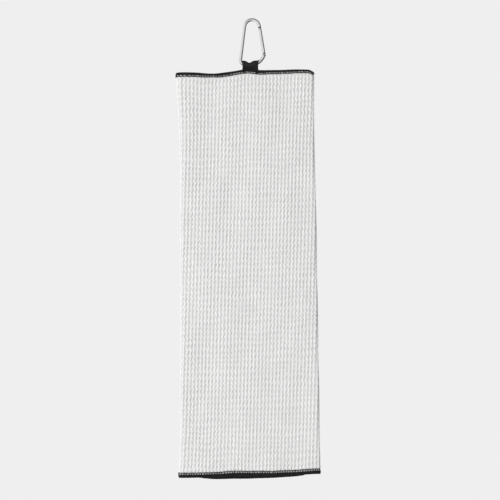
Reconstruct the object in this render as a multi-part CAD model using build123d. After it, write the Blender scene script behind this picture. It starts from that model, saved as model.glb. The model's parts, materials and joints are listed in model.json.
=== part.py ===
from build123d import *
import os
from math import asin, atan2, cos, degrees, hypot, radians, sin, sqrt

# A golf towel: a waffle-weave cloth folded in three lengthwise, with an overlocked edge, that hangs from
# a carabiner by a webbing loop sewn behind the front panel's top edge. Millimetres.
# Origin: the inside of the carabiner's top bend, where a bag's ring bears.
# +X is to the right seen from the front, +Y is to the back and +Z is up.

# Carabiner: one round wire bent in the XZ plane. Radii are to the wire's centreline.
WIRE_R = 2.0
TOP_BEND_R = 9.2
TOP_BEND_CENTRE = (0.0, WIRE_R - TOP_BEND_R)
SPINE_LEAN = 7.0
GATE_LEAN = 9.4
FOOT_CENTRE = (-3.2, -34.8)
FOOT_R = 19.4
FOOT_END = 66.8
HEEL_R = 4.0
NOSE_LENGTH = 1.0
NOSE_GAP = 1.3
PIVOT_DROP = 34.6

# Gate: a rod as thick as the wire, forked at both ends, with the spring's bore up its middle.
GATE_LENGTH = PIVOT_DROP - NOSE_LENGTH - NOSE_GAP
SLOT_T = 1.5
SLOT_DEPTH = 3.6
LOWER_SLOT_TOP = 2.6
GATE_END_ROUNDING = 0.6
TONGUE_T = 1.3
TONGUE_W = 3.4
TONGUE_LENGTH = 3.6
TONGUE_ROOT = 3.2
EMBED = 0.5
RIVET_R = 0.65
RIVET_HEAD_R = 1.1
RIVET_HEAD_T = 0.45
RIVET_HEAD_ROUNDING = 0.25
RIVET_SEAT_Y = 1.85
LATCH_PIN_R = 0.5
LATCH_PIN_DROP = 1.4
RUNNING_CLEARANCE = 0.05
BORE_R = 1.15
BORE_TOP = 13.0
BORE_FLOOR = 1.6
PLUNGER_LENGTH = 2.4
SPRING_R = 0.8
SPRING_WIRE_R = 0.15
SPRING_PITCH = 0.95

# Webbing: flat tape folded over the carabiner's wide lower bend.
WEB_T = 1.2
WEB_GAP = 0.3
WEB_LEFT = -11.8
WEB_RIGHT = 7.2
WEB_BIGHT_LOW = -57.6
TAIL_TOP = -59.2
TAIL_LOW = -78.0
TACK_W = 1.5
TACK_T = 0.3
TACK_TOP = -62.4
TACK_LOW = -66.0

# Towel, folded. A side line is X = a + b*Z, and a level line is Z = a + b*X.
CLOTH_T = 2.8
EDGING_W = 5.0
EDGE_RISE = 0.022
TOP_Z = -62.2
BOTTOM_Z = -561.2
OUTER_FLAP_TOP_DROP = 1.0
OUTER_FLAP_BOTTOM_DROP = 3.0
LEFT_FOLD_X = -90.0
RIGHT_FOLD_X = 75.8
RIGHT_LEAN = -0.01606
INNER_FREE_X = -83.4
INNER_FREE_LEAN = -0.059
OUTER_FREE_X = 48.8
OUTER_FREE_LEAN = -0.027

# Layers, front to back, each CLOTH_T thick. The inner flap lies between the other two.
FRONT_Y = -4.2
INNER_Y = 1.4
OUTER_Y = 4.6
FOLD_GAP = 0.3
RIGHT_FOLD_R = (INNER_Y + CLOTH_T - FRONT_Y) / 2
RIGHT_FOLD_Y = FRONT_Y + RIGHT_FOLD_R
LEFT_FOLD_R = (OUTER_Y + CLOTH_T - FRONT_Y) / 2
LEFT_FOLD_Y = FRONT_Y + LEFT_FOLD_R

TOP = (TOP_Z, EDGE_RISE)
BOTTOM = (BOTTOM_Z, EDGE_RISE)
FRONT_LEFT = (LEFT_FOLD_X + LEFT_FOLD_R, 0.0)
FRONT_RIGHT = (RIGHT_FOLD_X - RIGHT_FOLD_R, RIGHT_LEAN)
INNER_FREE = (INNER_FREE_X, INNER_FREE_LEAN)
OUTER_FREE = (OUTER_FREE_X, OUTER_FREE_LEAN)


# ---------------------------------------------------------------- carabiner


def on_circle(centre, radius, angle):
    """The X, Z point of a circle at an angle in degrees, counted from +X towards +Z."""
    return (centre[0] + radius * cos(radians(angle)), centre[1] + radius * sin(radians(angle)))


def heel_centre():
    """The centre of the bend that touches the spine's straight line and the wide lower bend from inside."""
    top = on_circle(TOP_BEND_CENTRE, TOP_BEND_R - HEEL_R, 180 - SPINE_LEAN)
    down = (-sin(radians(SPINE_LEAN)), -cos(radians(SPINE_LEAN)))
    away = (top[0] - FOOT_CENTRE[0], top[1] - FOOT_CENTRE[1])
    half = -(away[0] * down[0] + away[1] * down[1])
    reach = half + sqrt(half**2 - away[0] ** 2 - away[1] ** 2 + (FOOT_R - HEEL_R) ** 2)
    return (top[0] + reach * down[0], top[1] + reach * down[1])


def down_gate_line(distance):
    """The X, Z point at a distance down the gate's line from the end of the top bend."""
    top = on_circle(TOP_BEND_CENTRE, TOP_BEND_R, GATE_LEAN)
    return (top[0] + distance * sin(radians(GATE_LEAN)), top[1] - distance * cos(radians(GATE_LEAN)))


def wire_path():
    """The wire's centreline from the nose, over the top bend, down the spine and round the lower bend."""
    spine_top = on_circle(TOP_BEND_CENTRE, TOP_BEND_R, 180 - SPINE_LEAN)
    heel = heel_centre()
    heel_end = degrees(atan2(heel[1] - FOOT_CENTRE[1], heel[0] - FOOT_CENTRE[0])) % 360
    with BuildLine(Plane.XZ) as path:
        Line(down_gate_line(NOSE_LENGTH), down_gate_line(0))
        CenterArc(TOP_BEND_CENTRE, TOP_BEND_R, GATE_LEAN, 180 - SPINE_LEAN - GATE_LEAN)
        Line(spine_top, on_circle(heel, HEEL_R, 180 - SPINE_LEAN))
        CenterArc(heel, HEEL_R, 180 - SPINE_LEAN, heel_end - 180 + SPINE_LEAN)
        CenterArc(FOOT_CENTRE, FOOT_R, heel_end, 270 + FOOT_END - heel_end)
    return path.wire()


def gate_place():
    """The gate's own frame: its pivot at the origin, +Z up the gate and +X out of the carabiner."""
    x, z = down_gate_line(PIVOT_DROP)
    return Pos(x, 0, z) * Rot(0, -GATE_LEAN, 0)


def cross_pin(radius, length, z=0.0, x=0.0):
    """A cylinder along Y, in the gate's frame."""
    return Pos(x, 0, z) * Rot(90, 0, 0) * Cylinder(radius, length)


def bar(size_x, size_y, z_low, z_high, x=0.0):
    """A box about the Z axis between two heights."""
    return Pos(x, 0, (z_low + z_high) / 2) * Box(size_x, size_y, z_high - z_low)


def bar_round(radius, z_low, z_high):
    """A cylinder about the Z axis between two heights."""
    return Pos(0, 0, (z_low + z_high) / 2) * Cylinder(radius, z_high - z_low)


def carabiner_frame():
    """The bent wire, with a hooked tongue at its nose and a round tongue at the gate's pivot."""
    path = wire_path()
    wire = sweep(Plane(origin=path @ 0, z_dir=path % 0) * Circle(WIRE_R), path=path)
    nose_z = GATE_LENGTH + NOSE_GAP
    pin_z = GATE_LENGTH - LATCH_PIN_DROP
    catch_r = LATCH_PIN_R + 4 * RUNNING_CLEARANCE
    hook = bar(TONGUE_W, TONGUE_T, nose_z - TONGUE_LENGTH, nose_z + EMBED)
    hook -= cross_pin(catch_r, 2 * TONGUE_T, pin_z)
    hook -= bar(TONGUE_W, 2 * TONGUE_T, pin_z - catch_r, pin_z + catch_r, -TONGUE_W / 2)
    eye = bar(TONGUE_W, TONGUE_T, -TONGUE_ROOT, 0) + cross_pin(TONGUE_W / 2, TONGUE_T)
    eye -= cross_pin(RIVET_R + RUNNING_CLEARANCE, 2 * TONGUE_T)
    return wire + gate_place() * hook + gate_place() * eye


def gate_rod():
    """The gate: a rod with a fork at each end, a bore for the spring and seats for the rivet's heads."""
    rod = bar_round(WIRE_R, -WIRE_R, GATE_LENGTH)
    rod = fillet(rod.edges().group_by(Axis.Z)[-1], GATE_END_ROUNDING)
    rod &= cross_pin(WIRE_R, 2 * WIRE_R) + bar(4 * WIRE_R, 4 * WIRE_R, 0, GATE_LENGTH + 1)
    rod -= bar(4 * WIRE_R, SLOT_T, -2 * WIRE_R, LOWER_SLOT_TOP)
    rod -= bar(4 * WIRE_R, SLOT_T, GATE_LENGTH - SLOT_DEPTH, GATE_LENGTH + 1)
    rod -= bar_round(BORE_R, BORE_FLOOR, BORE_TOP)
    rod -= cross_pin(RIVET_R, 4 * WIRE_R)
    rod -= cross_pin(LATCH_PIN_R, 4 * WIRE_R, GATE_LENGTH - LATCH_PIN_DROP)
    for side in (-1, 1):
        seat = cross_pin(RIVET_HEAD_R + RUNNING_CLEARANCE, WIRE_R)
        rod -= Pos(0, side * (RIVET_SEAT_Y + WIRE_R / 2), 0) * seat
    return gate_place() * rod


def gate_pivot_rivet():
    """The rivet that the gate turns on, with a rounded head on each side."""
    rivet = cross_pin(RIVET_R, 2 * RIVET_SEAT_Y)
    for side in (-1, 1):
        head = cross_pin(RIVET_HEAD_R, RIVET_HEAD_T)
        head = fillet(head.edges().group_by(Axis.Y)[-1 if side > 0 else 0], RIVET_HEAD_ROUNDING)
        rivet += Pos(0, side * (RIVET_SEAT_Y + RIVET_HEAD_T / 2), 0) * head
    return gate_place() * rivet


def latch_pin():
    """The pin across the gate's upper fork, which the nose's hook catches."""
    return gate_place() * cross_pin(LATCH_PIN_R, 2 * RIVET_SEAT_Y, GATE_LENGTH - LATCH_PIN_DROP)


def gate_plunger():
    """The short pin that the spring presses against the round tongue."""
    low = TONGUE_W / 2 + 2 * RUNNING_CLEARANCE
    return gate_place() * bar_round(BORE_R - RUNNING_CLEARANCE, low, low + PLUNGER_LENGTH)


def gate_spring():
    """The coil spring in the gate's bore."""
    low = TONGUE_W / 2 + PLUNGER_LENGTH + 3 * RUNNING_CLEARANCE + SPRING_WIRE_R
    path = Helix(SPRING_PITCH, BORE_TOP - RUNNING_CLEARANCE - SPRING_WIRE_R - low, SPRING_R)
    coil = sweep(Plane(origin=path @ 0, z_dir=path % 0) * Circle(SPRING_WIRE_R), path=path, is_frenet=True)
    return gate_place() * Pos(0, 0, low) * coil


# ------------------------------------------------------------------ webbing


def web_angle(x):
    """Where the lower bend's centreline reaches X, in degrees from straight down, positive to the right."""
    return degrees(asin((x - FOOT_CENTRE[0]) / FOOT_R))


def webbing_loop():
    """The tape's fold over the lower bend: a half ring that follows the bend, and two legs down from it."""
    inner = WIRE_R + WEB_GAP
    outer = inner + WEB_T
    ring = Circle(outer) - Circle(inner)
    ring &= Rectangle(outer, 2 * outer, align=(Align.MIN, Align.CENTER))
    section = Pos(0, 0, -FOOT_R) * Rot(0, -90, 0) * ring
    turn = web_angle(WEB_RIGHT) - web_angle(WEB_LEFT)
    half_ring = revolve(section, axis=Axis((0, 0, 0), (0, -1, 0)), revolution_arc=turn)
    centre = Pos(FOOT_CENTRE[0], 0, FOOT_CENTRE[1])
    loop = centre * Rot(0, -web_angle(WEB_LEFT), 0) * half_ring
    leg = Box(WEB_RIGHT - WEB_LEFT, WEB_T, FOOT_CENTRE[1] - WEB_BIGHT_LOW)
    leg = Pos((WEB_LEFT + WEB_RIGHT) / 2, 0, (WEB_BIGHT_LOW + FOOT_CENTRE[1]) / 2) * leg
    leg -= centre * cross_pin(FOOT_R, 2 * WEB_T)
    for side in (-1, 1):
        loop += Pos(0, side * (inner + outer) / 2, 0) * leg
    return loop


def webbing_tails():
    """The tape's two plies, sewn between the front panel's top edging and the inner flap."""
    tails = Box(WEB_RIGHT - WEB_LEFT, 2 * WEB_T, TAIL_TOP - TAIL_LOW)
    return Pos((WEB_LEFT + WEB_RIGHT) / 2, 0, (TAIL_TOP + TAIL_LOW) / 2) * tails


def loop_bar_tacks():
    """Two short rows of dense stitches on the front of the top edging, one at each side of the tape."""
    tacks = []
    for x in (WEB_LEFT + TACK_W, WEB_RIGHT - TACK_W):
        tack = Box(TACK_W, TACK_T, TACK_TOP - TACK_LOW)
        tacks.append(Pos(x, FRONT_Y - TACK_T / 2, (TACK_TOP + TACK_LOW) / 2) * tack)
    return tacks


# -------------------------------------------------------------------- towel


def corner(side, level):
    """Where a side line X = a + b*Z meets a level line Z = a + b*X."""
    x = (side[0] + side[1] * level[0]) / (1 - side[1] * level[1])
    return (x, level[0] + level[1] * x)


def moved(line, distance):
    """A side line moved along X, or a level line moved along Z."""
    return (line[0] + distance, line[1])


def slab(left, right, low, high, y_front):
    """One flat layer of cloth or edging between two side lines and two level lines."""
    outline = [corner(left, low), corner(right, low), corner(right, high), corner(left, high)]
    face = make_face(Polyline(*[(x, y_front, z) for x, z in outline], close=True))
    return extrude(face, amount=CLOTH_T, dir=(0, 1, 0))


def fold(line, y, radius, low, high, quadrant):
    """Part of a rolled fold about a side line: its right half, or the front or back quarter on its left."""
    ring = Circle(radius) - Circle(radius - CLOTH_T)
    if quadrant == "right":
        ring &= Rectangle(radius, 2 * radius, align=(Align.MIN, Align.CENTER))
    if quadrant == "front":
        ring &= Pos(0, -FOLD_GAP / 2, 0) * Rectangle(radius, radius, align=(Align.MAX, Align.MAX))
    if quadrant == "back":
        ring &= Pos(0, FOLD_GAP / 2, 0) * Rectangle(radius, radius, align=(Align.MAX, Align.MIN))
    start = corner(line, low)
    end = corner(line, high)
    run = (end[0] - start[0], 0, end[1] - start[1])
    return extrude(Pos(start[0], y, start[1]) * ring, amount=hypot(run[0], run[2]), dir=run)


def right_fold_part(low, high):
    return fold(FRONT_RIGHT, RIGHT_FOLD_Y, RIGHT_FOLD_R, low, high, "right")


def left_fold_part(low, high, quadrant):
    return fold(FRONT_LEFT, LEFT_FOLD_Y, LEFT_FOLD_R, low, high, quadrant)


CLOTH_TOP = moved(TOP, -EDGING_W)
CLOTH_BOTTOM = moved(BOTTOM, EDGING_W)
FLAP_TOP = moved(TOP, -OUTER_FLAP_TOP_DROP)
FLAP_BOTTOM = moved(BOTTOM, -OUTER_FLAP_BOTTOM_DROP)
FLAP_CLOTH_TOP = moved(FLAP_TOP, -EDGING_W)
FLAP_CLOTH_BOTTOM = moved(FLAP_BOTTOM, EDGING_W)
INNER_CLOTH_LEFT = moved(INNER_FREE, EDGING_W)
OUTER_CLOTH_RIGHT = moved(OUTER_FREE, -EDGING_W)


def front_panel():
    return slab(FRONT_LEFT, FRONT_RIGHT, CLOTH_BOTTOM, CLOTH_TOP, FRONT_Y)


def right_fold():
    return right_fold_part(CLOTH_BOTTOM, CLOTH_TOP)


def inner_flap():
    return slab(INNER_CLOTH_LEFT, FRONT_RIGHT, CLOTH_BOTTOM, CLOTH_TOP, INNER_Y)


def left_fold_front():
    return left_fold_part(CLOTH_BOTTOM, CLOTH_TOP, "front")


def left_fold_back():
    return left_fold_part(FLAP_CLOTH_BOTTOM, FLAP_CLOTH_TOP, "back")


def outer_flap():
    return slab(FRONT_LEFT, OUTER_CLOTH_RIGHT, FLAP_CLOTH_BOTTOM, FLAP_CLOTH_TOP, OUTER_Y)


def towel_edging(low, high):
    """The edging of the front panel, the right fold and the inner flap along one end of the towel."""
    edging = slab(FRONT_LEFT, FRONT_RIGHT, low, high, FRONT_Y)
    edging += right_fold_part(low, high)
    edging += slab(INNER_CLOTH_LEFT, FRONT_RIGHT, low, high, INNER_Y)
    return edging + left_fold_part(low, high, "front")


def top_edging():
    return towel_edging(CLOTH_TOP, TOP)


def bottom_edging():
    return towel_edging(BOTTOM, CLOTH_BOTTOM)


def inner_side_edging():
    return slab(INNER_FREE, INNER_CLOTH_LEFT, BOTTOM, TOP, INNER_Y)


def flap_edging(low, high):
    """The edging of the outer flap along one end, with its share of the left fold."""
    return slab(FRONT_LEFT, OUTER_CLOTH_RIGHT, low, high, OUTER_Y) + left_fold_part(low, high, "back")


def outer_top_edging():
    return flap_edging(FLAP_CLOTH_TOP, FLAP_TOP)


def outer_bottom_edging():
    return flap_edging(FLAP_BOTTOM, FLAP_CLOTH_BOTTOM)


def outer_side_edging():
    return slab(OUTER_CLOTH_RIGHT, OUTER_FREE, FLAP_BOTTOM, FLAP_TOP, OUTER_Y)


NODES = [
    carabiner_frame,
    gate_rod,
    gate_pivot_rivet,
    latch_pin,
    gate_plunger,
    gate_spring,
    webbing_loop,
    webbing_tails,
    loop_bar_tacks,
    front_panel,
    right_fold,
    inner_flap,
    left_fold_front,
    top_edging,
    bottom_edging,
    inner_side_edging,
    left_fold_back,
    outer_flap,
    outer_top_edging,
    outer_bottom_edging,
    outer_side_edging,
]

os.makedirs("parts", exist_ok=True)
for node in NODES:
    made = node()
    pieces = made if isinstance(made, list) else [made]
    solids = [solid for piece in pieces for solid in piece.solids()]
    whole = solids[0] if len(solids) == 1 else Compound(children=solids)
    export_step(whole, f"parts/{node.__name__}.step")
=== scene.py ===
import json
from math import cos, pi, sin, sqrt

import bpy
import numpy as np
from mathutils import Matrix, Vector


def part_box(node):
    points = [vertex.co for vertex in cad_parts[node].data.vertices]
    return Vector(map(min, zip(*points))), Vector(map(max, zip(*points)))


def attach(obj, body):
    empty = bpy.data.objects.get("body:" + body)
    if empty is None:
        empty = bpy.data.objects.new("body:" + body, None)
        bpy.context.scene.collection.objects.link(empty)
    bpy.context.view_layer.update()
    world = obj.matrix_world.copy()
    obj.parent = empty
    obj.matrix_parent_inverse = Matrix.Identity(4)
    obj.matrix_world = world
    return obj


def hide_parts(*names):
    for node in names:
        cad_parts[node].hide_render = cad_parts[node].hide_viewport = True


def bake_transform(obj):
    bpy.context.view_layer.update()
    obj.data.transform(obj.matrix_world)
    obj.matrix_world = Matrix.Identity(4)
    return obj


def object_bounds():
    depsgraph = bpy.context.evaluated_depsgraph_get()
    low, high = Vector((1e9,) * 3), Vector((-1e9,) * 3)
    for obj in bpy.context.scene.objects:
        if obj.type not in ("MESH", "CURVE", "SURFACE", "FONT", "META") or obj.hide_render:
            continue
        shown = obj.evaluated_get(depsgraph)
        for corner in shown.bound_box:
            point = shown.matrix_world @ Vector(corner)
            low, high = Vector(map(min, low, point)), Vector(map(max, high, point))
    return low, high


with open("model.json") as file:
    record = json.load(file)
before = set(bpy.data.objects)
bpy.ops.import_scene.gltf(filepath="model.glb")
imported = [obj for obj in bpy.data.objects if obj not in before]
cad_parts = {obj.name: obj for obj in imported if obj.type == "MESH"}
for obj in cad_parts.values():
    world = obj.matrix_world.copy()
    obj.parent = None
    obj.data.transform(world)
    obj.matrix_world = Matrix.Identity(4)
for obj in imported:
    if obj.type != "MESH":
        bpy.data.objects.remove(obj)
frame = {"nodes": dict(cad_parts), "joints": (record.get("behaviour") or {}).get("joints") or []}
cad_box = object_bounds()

# A golf towel: white waffle cloth folded in three, black overlocked edges, a webbing loop and a carabiner.
# Metres, in the CAD model's frame. The front panel faces -Y.
MM = 0.001

# The weave. P counts across the ribs and V counts down them, from the top edge, on the cloth laid flat.
# P is zero where the front panel meets the left fold, at the top edge.
RIB_PITCH = 4.38 * MM
ROW_PITCH = 7.1 * MM
RIB_COLUMNS = 6
PITCH_ROWS = 8
RIB_LEAN = 0.027
RIB_HEIGHT = 1.25 * MM
RIB_MIDDLE = 0.55
ROW_FILL = 0.42
ROW_SHARPNESS = 1.5
RIB_WIGGLE = 0.5 * MM
CLOTH_HALF_T = 0.62 * MM
CUT_INSET = 0.4 * MM

# Slow random fields, each with its seed, size and wavelength: rows off level, uneven and swaying ribs, and
# uneven turns of thread.
ROW_STRAY = (5, 1.1, 34 * MM)
RIB_UNEVEN = (3, 0.12, 30 * MM)
RIB_SWAY = (7, 1.6, 52 * MM)
TURN_UNEVEN = (11, 0.25, 6 * MM)

# Beside the edging the weave rises from flat, and the cloth bulges a little.
WEAVE_START = 4.2 * MM
WEAVE_RISE = 3.2 * MM
EDGE_BULGE = 0.3 * MM
BULGE_AT = 7.5 * MM
BULGE_W = 2.2 * MM

# The left fold's crease is flatter and carries a painted highlight, and a painted shade line lies just
# before the right fold.
CREASE_W = 2.6 * MM
CREASE_FLATTENING = 0.45
CREASE_PAINTED_HIGHLIGHT = 1.2
FOLD_PAINTED_SHADE = 0.6
FOLD_PAINTED_SHADE_INSET = 1.3 * MM
FOLD_PAINTED_SHADE_W = 1.1 * MM

# The edging: thread wrapped round the cloth's edge, with two legs for each stitch down to a needle line.
EDGING_W = 5.0 * MM
STITCH = 3.1 * MM
ROLL_DEPTH = 2.5 * MM
ROLL_OVERHANG = 0.6 * MM
ROLL_HALF_T = 1.3 * MM
RIDGE_HEIGHT = 0.24 * MM
RIDGE_SAMPLES = 6
RIDGE_SLANT = 0.3
ROLL_POINTS = 15
THREAD_R = 0.4 * MM
NEEDLE_R = 0.55 * MM
NEEDLE_DEPTH = 4.4 * MM
NEEDLE_LOW = 0.3 * MM
NEEDLE_ARCH = 0.42 * MM
LEG_START = 2.0 * MM
LEG_REACH = STITCH / 9
LEG_CLOSING = 0.8
LEG_FALL = np.array([[0.0, 0.22, 0.5, 0.8, 1.0]])
LEG_HEIGHTS = np.array([[1.3, 1.12, 0.82, 0.7, 0.3]]) * MM
STITCH_JITTER = 0.28 * MM
LEG_JITTER = (0.05 * MM, 0.08 * MM)
END_ROUNDING = 1.2 * MM
LIP = 0.1 * MM
TUCK = 0.25 * MM
PRESSED_W = 4 * MM
PRESSED_LEFT = 0.6
PRESSED_RIGHT = 0.45
LOW_HEM_STRETCH = 1.3

# A hump's numbers are its height, its centre and its width. A rise's are its height, its start and its end.
# All are in mm, apart from the heights of LOW_HEM_RISE and LOW_HEM_HUMP, which come off LOW_HEM_STRETCH.
TOP_WAVE = ((0.15, -85, 12), (-2.2, -47, 17), (2.6, -5, 12), (0.5, 22, 14), (0.7, 50, 16))
TOP_CORNER = ((3.8, 68, 80),)
LOW_WAVE = ((0.2, -88, 20), (0.9, -19, 14), (0.2, 10, 12))
LOW_RISE = ((1.6, 46, 80),)
LOW_LIFT = 0.6
TOP_NARROWING = ((-4.6, 0, 57),)
LOW_NARROWING = ((-1.9, 0, 40),)
LEFT_FLARE = 0.8
RIGHT_PINCH = ((1.0, -150, 45),)
FLAP_DROPS = ((4.1, 0, 44), (-1.3, 90, 150), (-0.7, 140, 152))
FLAP_SAG = ((0.7, 68, 16),)
TOP_HEM_HUMPS = ((0.75, 35, 6.5), (0.66, 66, 7.5))
TOP_HEM_RISES = ((0.53, 97, 105), (0.48, 131, 140))
LOW_HEM_RISE = ((0.12, 67, 58),)
LOW_HEM_HUMP = ((0.12, 122, 9),)

# How far in from its edge each of those is felt. Then the layers' slow waves, each with a height in mm and
# lengths across and along in metres.
TOP_FADE = 60 * MM
CORNER_FADE = 6 * MM
LOW_FADE = 50 * MM
LEFT_FADE = 26 * MM
RIGHT_FADE = 20 * MM
SWAYS = ((0.4, 0.095, 0.42), (0.22, 0.043, -0.26))

# The webbing, and the bar tacks that hold it.
WEB_T = 1.2 * MM
WEB_CLEARANCE = 0.3 * MM
WEB_RIB = 1.15 * MM
WEB_PICK = 1.5 * MM
WEB_RELIEF = 0.11 * MM
WEB_WEAVE = 0.6
WEB_FINE_RIBS = 0.7
WEB_SHOULDER = 0.5 * MM
WEB_WAIST_Z = -56 * MM
WEB_CROWN_Z = -48.1 * MM
WEB_DIP = 3.0 * MM
WEB_DIP_X = -3.4 * MM
WEB_DIP_W = 3.4 * MM
WEB_WAIST_W = 4 * MM
WEB_SKEW = 0.35 * MM
WEB_TAIL_END = 0.6
WEB_LEG_END = 0.82
WEB_ACROSS = 64
WEB_ALONG = 300
WEB_ROUNDNESS = 14
TACK_W = 1.5 * MM
TACK_ROWS = 13
TACK_POINTS = 7
TACK_SLANT = 0.16 * MM
TACK_DIP = 0.5 * MM
TACK_R = 0.17 * MM

# The camera's view: how wide it is at the towel, its centre in X and Z, and its lens in mm.
VIEW_WIDTH = 0.6175
VIEW_CENTRE = (-0.0025, -0.2822)
LENS = 100.0
SENSOR = 36.0

# The studio: the floor's height and its two rings, and what the lamps face.
FLOOR_Z = -1.6
FLOOR_RINGS = (0.5, 2.3)
FLOOR_SIDES = 96
LAMP_TARGET = Vector((0, 0, -0.3))
BACKDROP = (0.863, 0.863, 0.863, 1)


# ------------------------------------------------------------------ the frame's sizes


front_low, front_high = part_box("front_panel")
right_low, right_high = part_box("right_fold")
left_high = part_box("left_fold_front")[1]
flap_hem_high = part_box("outer_top_edging")[1]

# The middle of each layer. Each lies against the outer side of its CAD slab.
FRONT_Y = front_low.y + CLOTH_HALF_T
INNER_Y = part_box("inner_flap")[1].y - CLOTH_HALF_T
OUTER_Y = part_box("outer_flap")[1].y - CLOTH_HALF_T
LEFT_X = front_low.x
LEFT_Y = (FRONT_Y + OUTER_Y) / 2
LEFT_R = (OUTER_Y - FRONT_Y) / 2
RIGHT_Y = (FRONT_Y + INNER_Y) / 2
RIGHT_R = (INNER_Y - FRONT_Y) / 2
RIGHT_SPREAD = right_high.x - (right_high.y - right_low.y) / 2 - right_low.x
RIGHT_LEAN = RIGHT_SPREAD / (right_high.z - right_low.z)
EDGE_RISE = (front_high.z - left_high.z) / (right_low.x - front_low.x)
TOP_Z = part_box("top_edging")[0].z + EDGING_W - EDGE_RISE * LEFT_X
BOTTOM_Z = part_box("bottom_edging")[0].z - EDGE_RISE * LEFT_X
LENGTH = TOP_Z - BOTTOM_Z
FLAP_TOP_DROP = TOP_Z + EDGE_RISE * flap_hem_high.x - flap_hem_high.z
LEFT_EDGE = cad_box[0].x
INNER_FLAP_DROP = 1.0 * MM


def right_x(v):
    """Where the right fold's centre line is, at a distance down the cloth."""
    return right_low.x + RIGHT_LEAN * (v - EDGING_W)


def seam_p(v):
    """Where the outermost line of the right fold crosses the cloth, in P."""
    return right_x(v) - LEFT_X + RIGHT_R * pi / 2 + RIB_LEAN * v


OUTER_P = LEFT_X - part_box("outer_side_edging")[1].x - pi * LEFT_R + RIB_LEAN * LENGTH
INNER_P = 2 * right_x(0) - LEFT_X + pi * RIGHT_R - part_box("inner_side_edging")[0].x


# --------------------------------------------------------------------- shape helpers


def smooth(t):
    """From 0 to 1 as t goes from 0 to 1, with level ends."""
    t = np.clip(t, 0, 1)
    return t * t * (3 - 2 * t)


def hump(x, centre, width):
    """A smooth hump of height 1 about a centre."""
    return np.exp(-(((x - centre) / width) ** 2))


def humps(x, rows):
    """Smooth humps added up, each from its height, and its centre and width in mm."""
    return sum(height * hump(x, centre * MM, width * MM) for height, centre, width in rows)


def rises(x, rows):
    """Smooth rises added up, each from its height, and where it starts and ends in mm."""
    return sum(height * smooth((x / MM - start) / (end - start)) for height, start, end in rows)


def wander(x, y, seed, size, wavelength, terms=6):
    """A smooth random field between about minus and plus its size, the same on each run."""
    random = np.random.RandomState(seed)
    total = np.zeros(np.broadcast(x, y).shape)
    for _ in range(terms):
        turn, start = random.uniform(0, 2 * pi, 2)
        wave = wavelength * random.uniform(0.7, 1.5)
        total += np.sin(2 * pi * (x * cos(turn) + y * sin(turn)) / wave + start)
    return size * (total / sqrt(terms))


def drape(x, y, z):
    """How the hung towel strays from straight edges and flat layers. Every layer strays alike."""
    down = TOP_Z - z
    up = z - BOTTOM_Z
    below_top = np.clip(down, 0, None)
    near_left = np.exp(-np.clip(x - LEFT_EDGE, 0, None) / LEFT_FADE)
    near_right = np.exp(-np.clip(right_x(down) + RIGHT_R - x, 0, None) / RIGHT_FADE)
    flare = LEFT_FLARE * down / LENGTH + humps(down, TOP_NARROWING) + humps(up, LOW_NARROWING)
    pinch = humps(z, RIGHT_PINCH)
    low_wave = LOW_LIFT + humps(x, LOW_WAVE) + rises(x, LOW_RISE)
    lift = humps(x, TOP_WAVE) * np.exp(-below_top / TOP_FADE)
    lift = lift - rises(x, TOP_CORNER) * np.exp(-below_top / CORNER_FADE)
    lift = lift + low_wave * np.exp(-np.clip(up, 0, None) / LOW_FADE)
    sway = sum(height * np.sin(2 * pi * (x / across + z / along)) for height, across, along in SWAYS)
    return x + (near_left * flare - near_right * pinch) * MM, y + sway * MM, z + lift * MM


def place(p, v, n):
    """The folded towel's point at P and V on the flat cloth, at a height N off its front face."""
    p, v, n = np.broadcast_arrays(p, v, n)
    s = p - RIB_LEAN * v
    width = right_x(v) - LEFT_X
    past_left = np.clip(-s, 0, None)
    past_right = np.clip(s - width, 0, None)
    left_turn = np.minimum(past_left / LEFT_R, pi)
    right_turn = np.minimum(past_right / RIGHT_R, pi)
    x = LEFT_X + np.clip(s, 0, width)
    x = x - (LEFT_R + n) * np.sin(left_turn) + past_left - LEFT_R * left_turn
    x = x + (RIGHT_R + n) * np.sin(right_turn) - past_right + RIGHT_R * right_turn
    y_left = LEFT_Y - (LEFT_R + n) * np.cos(left_turn)
    y_right = RIGHT_Y - (RIGHT_R + n) * np.cos(right_turn)
    past_fold = past_left - LEFT_R * left_turn
    low_drop = (rises(past_fold, FLAP_DROPS) + humps(past_fold, FLAP_SAG)) * MM
    drop = FLAP_TOP_DROP * (1 - v / LENGTH) * smooth(left_turn / pi) + low_drop * v / LENGTH
    drop = drop + INNER_FLAP_DROP * smooth(right_turn / pi) * v / LENGTH
    z = TOP_Z + EDGE_RISE * x - v - drop
    return np.stack(drape(x, np.where(s < 0, y_left, y_right), z), axis=-1)


# ---------------------------------------------------------------------- mesh helpers


def make_piece(name, points, faces, material, uv=None, values=None):
    """A smooth mesh object from points and faces, with a UV map and named point values."""
    mesh = bpy.data.meshes.new(name)
    mesh.from_pydata(np.asarray(points).tolist(), [], faces)
    mesh.shade_smooth()
    mesh.materials.append(material)
    corner = np.empty(len(mesh.loops), np.int32)
    mesh.loops.foreach_get("vertex_index", corner)
    if uv is not None:
        layer = mesh.uv_layers.new(name="flat")
        layer.data.foreach_set("uv", np.asarray(uv, np.float32)[corner].ravel())
    for key, value in (values or {}).items():
        attribute = mesh.attributes.new(key, "FLOAT", "POINT")
        attribute.data.foreach_set("value", np.asarray(value, np.float32).ravel())
    mesh.validate()
    piece = bpy.data.objects.new(name, mesh)
    bpy.context.scene.collection.objects.link(piece)
    return piece


def grid_faces(rows, columns, start=0, closed=False):
    """Quads of a grid of points stored row by row. A closed grid joins its last column to its first."""
    last = columns if closed else columns - 1
    row, column = np.meshgrid(np.arange(rows - 1), np.arange(last), indexing="ij")
    after = (column + 1) % columns
    quads = [row * columns + column, (row + 1) * columns + column]
    quads += [(row + 1) * columns + after, row * columns + after]
    return (np.stack(quads, axis=-1).reshape(-1, 4) + start).tolist()


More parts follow.
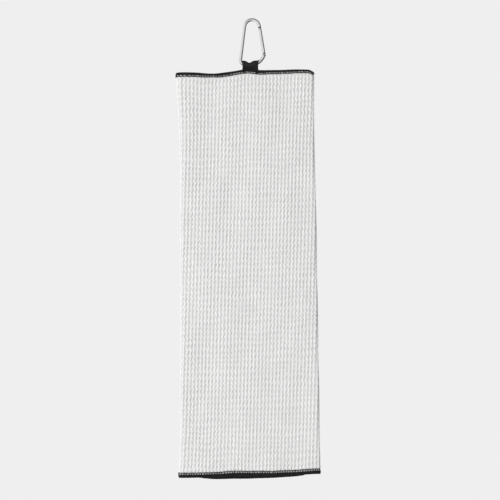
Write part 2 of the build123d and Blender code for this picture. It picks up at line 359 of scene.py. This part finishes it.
def tubes(paths, radius, sides=6):
    """Round threads along paths, an array of threads by points by XYZ, each with closed, narrowed ends."""
    count, steps, _ = paths.shape
    ahead = np.gradient(paths, axis=1)
    ahead /= np.linalg.norm(ahead, axis=2, keepdims=True)
    level = np.cross(ahead, np.array([0.31, -0.87, 0.38]))
    level /= np.linalg.norm(level, axis=2, keepdims=True)
    across = np.cross(ahead, level)
    thickness = np.full(steps, radius)
    thickness[[0, -1]] *= 0.5
    angle = np.arange(sides) * 2 * pi / sides
    ring = np.cos(angle)[:, None] * level[:, :, None, :] + np.sin(angle)[:, None] * across[:, :, None, :]
    points = (paths[:, :, None, :] + thickness[None, :, None, None] * ring).reshape(-1, 3)
    faces = []
    for thread in range(count):
        start = thread * steps * sides
        faces += grid_faces(steps, sides, start, closed=True)
        faces.append([start + side for side in range(sides)][::-1])
        faces.append([start + (steps - 1) * sides + side for side in range(sides)])
    return points, faces


def joined(parts):
    """Several point and face lists as one."""
    points, faces, start = [], [], 0
    for some, their_faces in parts:
        points.append(some)
        faces += [[corner + start for corner in face] for face in their_faces]
        start += len(some)
    return np.concatenate(points), faces


# ------------------------------------------------------------------------- materials


class Paint:
    """A new material with its Principled shader, and short ways to add nodes to it."""

    def __init__(self, name):
        self.material = bpy.data.materials.new(name)
        self.material.use_nodes = True
        self.tree = self.material.node_tree
        self.shader = self.tree.nodes["Principled BSDF"]

    def set(self, **values):
        """Sets the shader's own sockets, named with underscores for spaces."""
        for key, value in values.items():
            self.shader.inputs[key.replace("_", " ")].default_value = value

    def node(self, kind, **settings):
        """A new node. Each setting is one of its own properties, or else one of its sockets."""
        made = self.tree.nodes.new(kind)
        for key, value in settings.items():
            if hasattr(made, key):
                setattr(made, key, value)
            else:
                made.inputs[key.replace("_", " ")].default_value = value
        return made

    def link(self, source, target):
        """Joins an output to an input."""
        self.tree.links.new(source, target)

    def noise(self, vector, scale, detail=3.0, stretch=(1, 1, 1)):
        """Noise over a vector, stretched along its axes."""
        mapping = self.node("ShaderNodeMapping", Scale=stretch)
        noise = self.node("ShaderNodeTexNoise", Scale=scale, Detail=detail)
        self.link(vector, mapping.inputs["Vector"])
        self.link(mapping.outputs["Vector"], noise.inputs["Vector"])
        return noise.outputs["Fac"]

    def spread(self, source, low, high, from_low=0.3, from_high=0.7):
        """A number from low to high as the source goes over its range."""
        spread = self.node("ShaderNodeMapRange")
        values = {"From Min": from_low, "From Max": from_high, "To Min": low, "To Max": high}
        for key, value in values.items():
            spread.inputs[key].default_value = value
        self.link(source, spread.inputs["Value"])
        return spread.outputs["Result"]

    def ramp(self, source, low, high, from_low=0.3, from_high=0.7):
        """A colour from low to high as the source goes over its range."""
        ramp = self.node("ShaderNodeValToRGB")
        ramp.color_ramp.elements[0].position = from_low
        ramp.color_ramp.elements[1].position = from_high
        ramp.color_ramp.elements[0].color = (*low, 1)
        ramp.color_ramp.elements[1].color = (*high, 1)
        self.link(source, ramp.inputs["Fac"])
        return ramp.outputs["Color"]

    def math(self, operation, first, second):
        """Two sources, or a source and a number, in one Math node."""
        made = self.node("ShaderNodeMath", operation=operation)
        for socket, value in zip(made.inputs, (first, second)):
            if isinstance(value, (int, float)):
                socket.default_value = value
            else:
                self.link(value, socket)
        return made.outputs["Value"]

    def bump(self, height, distance, strength=1.0, below=None):
        """A bump of a height field, over another bump if one is given."""
        bump = self.node("ShaderNodeBump", Strength=strength, Distance=distance)
        self.link(height, bump.inputs["Height"])
        if below is not None:
            self.link(below, bump.inputs["Normal"])
        return bump.outputs["Normal"]


def waffle_cloth_paint():
    """White microfibre: small yarn loops and lint for the fine bump, painted shade that makes the cells
    between the ribs and the gaps between yarn loops greyer, a painted highlight on the left crease, and
    faint random tone.
    """
    paint = Paint("waffle_microfibre")
    flat = paint.node("ShaderNodeUVMap", uv_map="flat").outputs["UV"]
    place_of = paint.node("ShaderNodeTexCoord").outputs["Object"]
    relief_and_painted_shade = paint.node("ShaderNodeAttribute", attribute_name="relief_and_painted_shade").outputs["Fac"]
    cloud = paint.noise(place_of, 38.0, 4.0)
    lint = paint.noise(place_of, 2600.0, 4.0)
    uneven = paint.noise(flat, 260.0, 2.0)
    loops = paint.node("ShaderNodeTexVoronoi", feature="SMOOTH_F1", Scale=1050.0, Smoothness=0.35)
    paint.link(flat, loops.inputs["Vector"])
    loop_top = paint.spread(loops.outputs["Distance"], 1.0, 0.0, 0.0, 0.75)
    # Painted shade: the cloth's points carry a painted shading that colours the weave's low cells darker,
    # as shade would fall in them.
    painted_shading_and_tone = paint.spread(relief_and_painted_shade, 0.0, 0.68, 0.0, 1.0)
    painted_shading_and_tone = paint.math("ADD", painted_shading_and_tone, paint.spread(cloud, 0.0, 0.12))
    # Painted shade between the yarn loops: the loops' tops are coloured lighter than the hollows between
    # them.
    painted_shading_and_tone = paint.math("ADD", painted_shading_and_tone, paint.spread(loop_top, 0.0, 0.16, 0.2, 0.9))
    painted_shading_and_tone = paint.math("ADD", painted_shading_and_tone, paint.spread(uneven, 0.0, 0.08))
    paint.link(
        paint.ramp(painted_shading_and_tone, (0.573, 0.573, 0.57), (0.866, 0.866, 0.859), 0.0, 1.0),
        paint.shader.inputs["Base Color"],
    )
    paint.link(paint.spread(lint, 0.82, 0.98), paint.shader.inputs["Roughness"])
    yarn = paint.bump(loop_top, 0.55 * MM, 0.8)
    paint.link(paint.bump(lint, 0.2 * MM, 0.7, yarn), paint.shader.inputs["Normal"])
    paint.set(Specular_IOR_Level=0.22, Sheen_Weight=0.25, Sheen_Roughness=0.5)
    return paint.material


def thread_paint(name, dark, light, roughness):
    """Black polyester thread or tape: fine fibres, faintly uneven dye and a soft gloss."""
    paint = Paint(name)
    place_of = paint.node("ShaderNodeTexCoord").outputs["Object"]
    fibres = paint.noise(place_of, 5200.0, 3.0)
    tone = paint.noise(place_of, 420.0, 3.0)
    paint.link(paint.ramp(tone, dark, light), paint.shader.inputs["Base Color"])
    paint.link(paint.spread(fibres, roughness - 0.1, roughness + 0.12), paint.shader.inputs["Roughness"])
    paint.link(paint.bump(fibres, 0.12 * MM, 0.6), paint.shader.inputs["Normal"])
    paint.set(Specular_IOR_Level=0.2, Sheen_Weight=0.04, Sheen_Roughness=0.4)
    return paint.material


def metal_paint(name, dull, bright, smoothest, roughest):
    """Metal with hairline scratches, small dents, uneven handling, and a near-black painted shade on the
    latch's recessed flats.

    A Mix node has no separate names for its kinds of socket: its factor is input 0, its colours are
    inputs 6 and 7, and the mixed colour is output 2."""
    paint = Paint(name)
    place_of = paint.node("ShaderNodeTexCoord").outputs["Object"]
    handled = paint.noise(place_of, 240.0, 4.0)
    hairline = paint.noise(place_of, 1500.0, 5.0, (1.0, 1.0, 0.12))
    dents = paint.noise(place_of, 900.0, 2.0)
    depth = paint.node("ShaderNodeSeparateXYZ")
    facing = paint.node("ShaderNodeSeparateXYZ")
    paint.link(place_of, depth.inputs["Vector"])
    paint.link(paint.node("ShaderNodeNewGeometry").outputs["Normal"], facing.inputs["Vector"])
    # Painted shade: near-black colour on faces that look front or back within about a millimetre of the
    # middle, where the latch's recess lies in shade.
    from_middle = paint.math("ABSOLUTE", depth.outputs["Y"], 0.0)
    flat_on = paint.spread(paint.math("ABSOLUTE", facing.outputs["Y"], 0.0), 0.0, 1.0, 0.75, 0.95)
    inside = paint.spread(from_middle, 1.0, 0.0, 0.8 * MM, 1.2 * MM)
    painted_latch_shade = paint.math("MULTIPLY", flat_on, inside)
    latch_shade_mix = paint.node("ShaderNodeMix", data_type="RGBA")
    latch_shade_mix.inputs[7].default_value = (0.02, 0.02, 0.02, 1)
    paint.link(painted_latch_shade, latch_shade_mix.inputs[0])
    paint.link(paint.ramp(handled, dull, bright), latch_shade_mix.inputs[6])
    paint.link(latch_shade_mix.outputs[2], paint.shader.inputs["Base Color"])
    paint.link(paint.spread(handled, smoothest, roughest), paint.shader.inputs["Roughness"])
    fine = paint.bump(hairline, 0.01 * MM, 0.2)
    paint.link(paint.bump(dents, 0.02 * MM, 0.12, fine), paint.shader.inputs["Normal"])
    paint.set(Metallic=1.0)
    return paint.material


CLOTH = waffle_cloth_paint()
THREAD = thread_paint("overlock_thread", (0.005, 0.005, 0.0052), (0.012, 0.0118, 0.0118), 0.6)
TAPE = thread_paint("woven_tape", (0.0104, 0.0104, 0.0106), (0.023, 0.0227, 0.0227), 0.66)
ALUMINIUM = metal_paint("polished_aluminium", (0.8, 0.803, 0.806), (0.9, 0.902, 0.905), 0.1, 0.2)
STEEL = metal_paint("plated_steel", (0.09, 0.09, 0.092), (0.16, 0.16, 0.162), 0.25, 0.42)


# ----------------------------------------------------------------------------- cloth


def row_shift(p, v):
    """How far the rows of the weave stray from level, as a phase."""
    return wander(p, v, *ROW_STRAY)


def rib_relief(p, v):
    """The weave's height off the cloth's middle, from -0.5 to 0.5: ribs, and lower ridges across them."""
    even = 1 + wander(p, v, *RIB_UNEVEN)
    rib = 0.5 + 0.5 * np.cos(2 * pi * p / RIB_PITCH)
    row = (0.5 + 0.5 * np.cos(2 * pi * v / ROW_PITCH + row_shift(p, v))) ** ROW_SHARPNESS
    return (np.maximum(rib, 0) + ROW_FILL * row * (1 - rib) - RIB_MIDDLE) * even


def edge_distance(p, v):
    """How far a point of the cloth is from the nearest of its four cut edges."""
    return np.minimum(np.minimum(v, LENGTH - v), np.minimum(p - OUTER_P, INNER_P - p))


def cloth_grid(p, v):
    """Cloth points' height, how far they shift along P, and their painted shading: painted shade in the
    grooves, a painted highlight on the left crease and a painted shade line before the right fold. It lies
    flat under the edging.
    """
    free = smooth((edge_distance(p, v) - WEAVE_START) / WEAVE_RISE)
    s = p - RIB_LEAN * v
    at_left_fold = hump(s, -LEFT_R * pi / 2, CREASE_W)
    before_right_fold = hump(p, seam_p(v) - FOLD_PAINTED_SHADE_INSET, FOLD_PAINTED_SHADE_W)
    relief_and_painted_shade = rib_relief(p, v)
    bulge = EDGE_BULGE * hump(edge_distance(p, v), BULGE_AT, BULGE_W)
    n = RIB_HEIGHT * relief_and_painted_shade * free * (1 - CREASE_FLATTENING * at_left_fold) + bulge
    sideways = wander(p, v, *RIB_SWAY)
    wiggle = RIB_WIGGLE * free * np.sin(2 * pi * v / ROW_PITCH + row_shift(p, v) + sideways)
    # Painted shading: the weave's low places darker, the left crease painted paler as if lit, and a painted
    # shade line just before the right fold.
    painted_shading_and_tone = (relief_and_painted_shade * free + 0.5) * (1 - at_left_fold) + CREASE_PAINTED_HIGHLIGHT * at_left_fold
    return n, wiggle, painted_shading_and_tone - FOLD_PAINTED_SHADE * free * before_right_fold


def cloth_piece(name, before_seam):
    """One of the cloth's two meshes: before the right fold's outermost line, or after it."""
    rows = round(LENGTH / ROW_PITCH * PITCH_ROWS) + 1
    columns = round((INNER_P - OUTER_P) / RIB_PITCH * RIB_COLUMNS) + 1
    v = np.linspace(CUT_INSET, LENGTH - CUT_INSET, rows)[:, None]
    p = np.linspace(OUTER_P + CUT_INSET, INNER_P - CUT_INSET, columns)[None, :]
    seam = seam_p(v)
    after = p >= seam
    if before_seam:
        first_after = after.argmax(axis=1)
        index = np.minimum(np.arange(columns)[None, :], first_after[:, None])
        kept_p = np.minimum(p, seam)
    else:
        last_before = after.argmax(axis=1) - 1
        index = np.maximum(np.arange(columns)[None, :], last_before[:, None])
        kept_p = np.maximum(p, seam)
    n, wiggle, painted_shading_and_tone = cloth_grid(kept_p, v)
    at_seam = smooth(np.abs(kept_p - seam) / (2 * MM))
    points = place(kept_p + wiggle * at_seam, v, n).reshape(-1, 3)
    index = index + np.arange(len(v))[:, None] * columns
    a, b, c, d = index[:-1, :-1], index[1:, :-1], index[1:, 1:], index[:-1, 1:]
    top_closed, low_closed = a == d, b == c
    quads = np.stack([a, b, c, d], axis=-1)[~top_closed & ~low_closed]
    fans = np.stack([a, b, c], axis=-1)[top_closed & ~low_closed]
    peaks = np.stack([a, b, d], axis=-1)[low_closed & ~top_closed]
    corners = np.concatenate([quads.ravel(), fans.ravel(), peaks.ravel()])
    used, renumbered = np.unique(corners, return_inverse=True)
    sizes = [len(quads) * 4, len(quads) * 4 + len(fans) * 3]
    new_quads, new_fans, new_peaks = np.split(renumbered, sizes)
    faces = new_quads.reshape(-1, 4).tolist()
    faces += new_fans.reshape(-1, 3).tolist() + new_peaks.reshape(-1, 3).tolist()
    uv = np.stack(np.broadcast_arrays(kept_p, v), axis=-1).reshape(-1, 2)
    return make_piece(name, points[used], faces, CLOTH, uv[used], {"relief_and_painted_shade": painted_shading_and_tone.reshape(-1)[used]})


# --------------------------------------------------------------------------- edging


def pressed(p, v, n):
    """The edging's height, less where the folds pull it flat."""
    at_left = hump(p - RIB_LEAN * v, -LEFT_R * pi / 2, PRESSED_W)
    at_right = hump(p, seam_p(v), PRESSED_W)
    return n * (1 - PRESSED_LEFT * at_left - PRESSED_RIGHT * at_right)


def on_top(a, d, n):
    """The top edging, whose roll is narrower in two places and towards the right."""
    narrower = humps(a, TOP_HEM_HUMPS) + rises(a, TOP_HEM_RISES)
    v = d - narrower * MM * smooth(d / ROLL_DEPTH)
    return place(a, v, pressed(a, v, n))


def on_bottom(a, d, n):
    """The bottom edging, which is sewn deeper, but less so on the left and right of the middle."""
    less = rises(a, LOW_HEM_RISE) + humps(a, LOW_HEM_HUMP)
    v = LENGTH - (LOW_HEM_STRETCH - less) * d
    return place(a, v, pressed(a, v, n))


def on_outer_side(a, d, n):
    """The outer flap's side edging."""
    return place(OUTER_P + d, a, n)


def on_inner_side(a, d, n):
    """The inner flap's side edging."""
    return place(INNER_P - d, a, n)


def roll(edge, start, end, closed_start, closed_end):
    """The thread wrapped round an edge: a rounded band with a ridge for each turn of thread."""
    ridge = STITCH / 2
    steps = round((end - start) / ridge * RIDGE_SAMPLES) + 1
    a = np.linspace(start, end, steps)[:, None]
    turn = np.linspace(-pi / 2, pi / 2, ROLL_POINTS)[None, :]
    d = ROLL_DEPTH - (ROLL_DEPTH + ROLL_OVERHANG) * np.sqrt(np.abs(np.cos(turn)))
    phase = (a + RIDGE_SLANT * d) / ridge
    ridged = 1 - (2 * (phase - np.floor(phase)) - 1) ** 2
    uneven = 1 + wander(a, d, *TURN_UNEVEN)
    lift = RIDGE_HEIGHT * ridged * uneven
    n = (ROLL_HALF_T + lift) * np.sin(turn)
    d = d - lift * np.cos(turn)
    ends = np.ones_like(a)
    if closed_start:
        ends = ends * np.sqrt(np.clip((a - start) / END_ROUNDING, 0, 1))
    if closed_end:
        ends = ends * np.sqrt(np.clip((end - a) / END_ROUNDING, 0, 1))
    tuck = TUCK * np.ones_like(a)
    n = np.concatenate([-tuck, n * ends, tuck], axis=1)
    lip = (ROLL_DEPTH + LIP) * np.ones_like(a)
    d = np.concatenate([lip, d, lip], axis=1)
    return edge(a, d, n).reshape(-1, 3), grid_faces(steps, ROLL_POINTS + 2)


def stitches(edge, start, end):
    """Both faces' thread legs, from the roll to the needle line, and the needle thread between them."""
    random = np.random.RandomState(round(abs(start) * 1e5) % 9973)
    a = np.arange(start + STITCH / 2, end - STITCH / 2, STITCH)[:, None]
    a = a + random.normal(0, STITCH_JITTER, a.shape)
    made = []
    for face in (-1, 1):
        for lean in (-1, 1):
            along = LEG_REACH * lean * (1 - LEG_CLOSING * LEG_FALL)
            along = along + random.normal(0, LEG_JITTER[0], a.shape)
            depth = LEG_START + (NEEDLE_DEPTH - LEG_START) * LEG_FALL
            depth = depth + random.normal(0, LEG_JITTER[1], a.shape)
            made.append(tubes(edge(a + along, depth, face * LEG_HEIGHTS), THREAD_R))
        span = np.linspace(0, 1, 5)[None, :]
        arch = NEEDLE_LOW + NEEDLE_ARCH * np.sin(pi * span)
        needle = edge(a + STITCH * span, NEEDLE_DEPTH + 0 * span, face * arch)
        made.append(tubes(needle[:-1], NEEDLE_R))
    return made


def edging_piece(name, runs):
    """Edging along several edges, each given as its placing function, ends and whether each end is cut."""
    parts = []
    for edge, start, end, closed_start, closed_end in runs:
        parts.append(roll(edge, start, end, closed_start, closed_end))
        parts += stitches(edge, start, end)
    points, faces = joined(parts)
    return make_piece(name, points, faces, THREAD)


# -------------------------------------------------------------------------- webbing


web_low, web_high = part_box("webbing_loop")
tail_low, tail_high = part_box("webbing_tails")
wire_low, wire_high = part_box("carabiner_frame")
joint_at = {joint["name"]: Vector(joint["pos_m"]) for joint in frame["joints"]}
bend_centre = joint_at["loop_slide"]
WIRE_R = (wire_high.y - wire_low.y) / 2
BEND_R = bend_centre.z - wire_low.z - WIRE_R


def web_path(u, t):
    """The tape's middle at a place across it and a place along it, from the front tail over the wire."""
    x = web_low.x + (web_high.x - web_low.x) * u
    lean = np.arcsin((x - bend_centre.x) / BEND_R)
    wire_z = bend_centre.z - BEND_R * np.cos(lean)
    reach = WIRE_R + WEB_CLEARANCE + WEB_T / 2
    crown = WEB_CROWN_Z - WEB_DIP * hump(x, WEB_DIP_X, WEB_DIP_W)
    rise = np.maximum(reach / np.cos(lean), crown - WEB_T / 2 - wire_z)
    side = np.where(t < 0.5, -1.0, 1.0)
    from_end = 1 - np.abs(2 * t - 1)
    on_tail = np.clip(from_end / WEB_TAIL_END, 0, 1)
    on_leg = np.clip((from_end - WEB_TAIL_END) / (WEB_LEG_END - WEB_TAIL_END), 0, 1)
    over = np.clip((from_end - WEB_LEG_END) / (1 - WEB_LEG_END), 0, 1)
    turn = pi / 2 * (1 - over)
    z = tail_low.z + (tail_high.z - tail_low.z) * on_tail
    z = z + (wire_z - tail_high.z) * on_leg + rise * np.cos(turn)
    y = side * (WEB_T / 2 + (reach - WEB_T / 2) * smooth(on_leg) * np.where(over > 0, np.sin(turn), 1.0))
    shoulder = WEB_SHOULDER * (1 - hump(z, WEB_WAIST_Z, WEB_WAIST_W))
    widening = shoulder * (2 * u - 1) + WEB_SKEW * u
    return np.stack(np.broadcast_arrays(x + widening, y, z), axis=-1)


def web_piece():
    """The webbing: one tape with a woven face on both sides and rounded edges."""
    u = np.linspace(0, 1, WEB_ACROSS)[None, :]
    t = np.linspace(0, 1, WEB_ALONG)[:, None]
    step = 1e-4
    ahead = web_path(u, np.clip(t + step, 0, 1)) - web_path(u, np.clip(t - step, 0, 1))
    sideways = web_path(np.clip(u + step, 0, 1), t) - web_path(np.clip(u - step, 0, 1), t)
    out = np.cross(ahead, sideways)
    out /= np.linalg.norm(out, axis=-1, keepdims=True)
    middle_of = web_path(u, t)
    steps = np.linalg.norm(np.diff(middle_of[:, WEB_ACROSS // 2], axis=0), axis=1)
    length = np.concatenate([[0], np.cumsum(steps)])
    w = u * (web_high.x - web_low.x)
    pick = length[:, None] / WEB_PICK
    weave = np.cos(2 * pi * w / WEB_RIB) * np.cos(2 * pi * pick)
    weave = weave + WEB_FINE_RIBS * np.cos(4 * pi * w / WEB_RIB)
    edge = np.sqrt(np.clip(1 - np.abs(2 * u - 1) ** WEB_ROUNDNESS, 0, 1))
    half = (WEB_T / 2 + WEB_RELIEF * weave * WEB_WEAVE - WEB_RELIEF) * edge
    outer = middle_of + out * half[..., None]
    inner = middle_of - out * half[..., None]
    ring = np.concatenate([outer, inner[:, ::-1]], axis=1)
    round_it = 2 * WEB_ACROSS
    faces = grid_faces(WEB_ALONG, round_it, closed=True)
    for row in (0, WEB_ALONG - 1):
        for k in range(WEB_ACROSS - 1):
            a = row * round_it + k
            b = row * round_it + round_it - 1 - k
            quad = [a, a + 1, b - 1, b]
            faces.append(quad if row == 0 else quad[::-1])
    return make_piece("webbing_tape", ring.reshape(-1, 3), faces, TAPE)


def bar_tack_piece():
    """Two rows of dense stitches that sew the tape's tails behind the front panel's top edging."""
    low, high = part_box("loop_bar_tacks")
    rows = np.linspace(low.z, high.z, TACK_ROWS)[:, None]
    span = np.linspace(-1, 1, TACK_POINTS)[None, :]
    made = []
    for centre in (low.x + TACK_W / 2, high.x - TACK_W / 2):
        x = centre + TACK_W / 2 * span + 0 * rows
        y = FRONT_Y - ROLL_HALF_T - RIDGE_HEIGHT + TACK_DIP * np.abs(span) ** 6 + 0 * rows
        z = rows + TACK_SLANT * span
        made.append(tubes(np.stack(drape(x, y, z), axis=-1), TACK_R))
    points, faces = joined(made)
    return make_piece("bar_tacks", points, faces, THREAD)


# ------------------------------------------------------------------- build the towel


main_cloth = cloth_piece("cloth_front_and_outer_flap", True)
inner_cloth = cloth_piece("cloth_inner_flap", False)
hem_ends = OUTER_P - ROLL_OVERHANG
main_hems = edging_piece(
    "edging_front_and_outer_flap",
    [
        (on_top, hem_ends, seam_p(0), True, False),
        (on_bottom, hem_ends, seam_p(LENGTH), True, False),
    ],
)
outer_side_hem = edging_piece(
    "edging_outer_side", [(on_outer_side, -ROLL_OVERHANG, LENGTH + ROLL_OVERHANG, True, True)]
)
inner_hems = edging_piece(
    "edging_inner_flap",
    [
        (on_top, seam_p(0), INNER_P + ROLL_OVERHANG, False, True),
        (on_bottom, seam_p(LENGTH), INNER_P + ROLL_OVERHANG, False, True),
        (on_inner_side, -ROLL_OVERHANG, LENGTH + ROLL_OVERHANG, True, True),
    ],
)
web = web_piece()
tacks = bar_tack_piece()

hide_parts("front_panel", "left_fold_front", "left_fold_back", "outer_flap")
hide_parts("inner_flap", "right_fold")
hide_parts("top_edging", "bottom_edging", "outer_top_edging", "outer_bottom_edging")
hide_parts("outer_side_edging")
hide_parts("inner_side_edging")
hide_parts("webbing_loop", "webbing_tails")
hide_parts("loop_bar_tacks")

# The outer flap turns on the left fold. The plane between the bodies leans back to the right, so that it
# passes between the outer flap and the right fold.
for piece in (main_cloth, main_hems):
    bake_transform(piece)
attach(outer_side_hem, "outer_flap")
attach(inner_cloth, "towel")
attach(inner_hems, "towel")
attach(tacks, "towel")
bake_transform(web)

for node, paint in (
    ("carabiner_frame", ALUMINIUM),
    ("gate_rod", ALUMINIUM),
    ("gate_pivot_rivet", STEEL),
    ("latch_pin", STEEL),
    ("gate_plunger", STEEL),
    ("gate_spring", STEEL),
):
    slots = frame["nodes"][node].material_slots
    for material_slot in slots:
        material_slot.link = "OBJECT"
        material_slot.material = paint


# ------------------------------------------------------------ camera, light and floor


def area_light(name, at, size, power):
    """A soft lamp, of a width and height in metres and a power in watts, that metal doesn't mirror."""
    light = bpy.data.lights.new(name, "AREA")
    light.shape = "RECTANGLE"
    light.size, light.size_y = size
    light.energy = power
    lamp = bpy.data.objects.new(name, light)
    lamp.location = at
    lamp.visible_glossy = False
    lamp.rotation_mode = "QUATERNION"
    lamp.rotation_quaternion = (LAMP_TARGET - Vector(at)).to_track_quat("-Z", "Y")
    bpy.context.scene.collection.objects.link(lamp)


def make_camera():
    """A level camera in front of the towel, as far off as its lens needs for the view's width."""
    data = bpy.data.cameras.new("camera")
    data.lens = LENS
    data.sensor_width = SENSOR
    camera = bpy.data.objects.new("camera", data)
    camera.location = (VIEW_CENTRE[0], -VIEW_WIDTH * LENS / SENSOR, VIEW_CENTRE[1])
    camera.rotation_euler = (pi / 2, 0, 0)
    bpy.context.scene.collection.objects.link(camera)
    bpy.context.scene.camera = camera


def room_light(tree, direction, dark_ways, start, end, bright, dark):
    """A room that goes from bright to dark as the direction turns towards any of its dark ways."""
    nearest = None
    for way in dark_ways:
        along = tree.nodes.new("ShaderNodeVectorMath")
        along.operation = "DOT_PRODUCT"
        along.inputs[1].default_value = way
        tree.links.new(direction, along.inputs[0])
        nearness = along.outputs["Value"]
        if nearest is not None:
            nearer = tree.nodes.new("ShaderNodeMath")
            nearer.operation = "MAXIMUM"
            tree.links.new(nearest, nearer.inputs[0])
            tree.links.new(nearness, nearer.inputs[1])
            nearness = nearer.outputs["Value"]
        nearest = nearness
    ramp = tree.nodes.new("ShaderNodeValToRGB")
    for element, position, level in zip(ramp.color_ramp.elements, (start, end), (bright, dark)):
        element.position = position
        element.color = (level, level, level, 1)
    room = tree.nodes.new("ShaderNodeBackground")
    tree.links.new(nearest, ramp.inputs["Fac"])
    tree.links.new(ramp.outputs["Color"], room.inputs["Color"])
    return room.outputs["Background"]


def make_world():
    """An even pale backdrop for the camera, a soft room that lights, and a room that shows in the metal."""
    world = bpy.data.worlds.new("studio")
    bpy.context.scene.world = world
    world.use_nodes = True
    tree = world.node_tree
    backdrop = tree.nodes["Background"]
    backdrop.inputs["Color"].default_value = BACKDROP
    direction = tree.nodes.new("ShaderNodeTexCoord").outputs["Generated"]
    low_right = [(0.85, 0.0, -0.53)]
    right_and_top = [(0.9, 0.0, -0.44), (0.22, 0.0, 0.7)]
    lighting = room_light(tree, direction, low_right, start=0.2, end=0.62, bright=0.78, dark=0.1)
    mirrored = room_light(tree, direction, right_and_top, start=0.15, end=0.6, bright=0.84, dark=0.12)
    ray = tree.nodes.new("ShaderNodeLightPath")
    shown = lighting
    for kind, shader in (("Is Glossy Ray", mirrored), ("Is Camera Ray", backdrop.outputs["Background"])):
        mixed = tree.nodes.new("ShaderNodeMixShader")
        tree.links.new(ray.outputs[kind], mixed.inputs["Fac"])
        tree.links.new(shown, mixed.inputs[1])
        tree.links.new(shader, mixed.inputs[2])
        shown = mixed.outputs["Shader"]
    tree.links.new(shown, tree.nodes["World Output"].inputs["Surface"])


def make_floor():
    """A round pale floor, well below the hung towel."""
    angle = np.linspace(0, 2 * pi, FLOOR_SIDES + 1)[:-1]
    circle = np.stack([np.cos(angle), np.sin(angle), 0 * angle], axis=-1)
    points = np.concatenate([radius * circle for radius in FLOOR_RINGS]) + [0, 0, FLOOR_Z]
    faces = grid_faces(2, len(angle), closed=True) + [list(range(len(angle)))]
    paint = Paint("pale_floor")
    place_of = paint.node("ShaderNodeTexCoord").outputs["Object"]
    cloud = paint.noise(place_of, 3.0, 3.0)
    paint.link(paint.ramp(cloud, (0.8, 0.8, 0.8), (0.84, 0.84, 0.84)), paint.shader.inputs["Base Color"])
    paint.set(Roughness=0.8)
    floor = make_piece("floor", points, faces, paint.material)
    floor.visible_glossy = False


make_camera()
make_world()
make_floor()
area_light("key", (-1.6, -1.6, -0.1), (1.3, 1.6), 28.03)
area_light("fill", (1.3, -1.8, 0.1), (1.4, 1.4), 6.47)
area_light("back", (0.6, 1.8, 0.6), (1.4, 1.4), 17.25)
bpy.context.scene.view_settings.view_transform = "Standard"
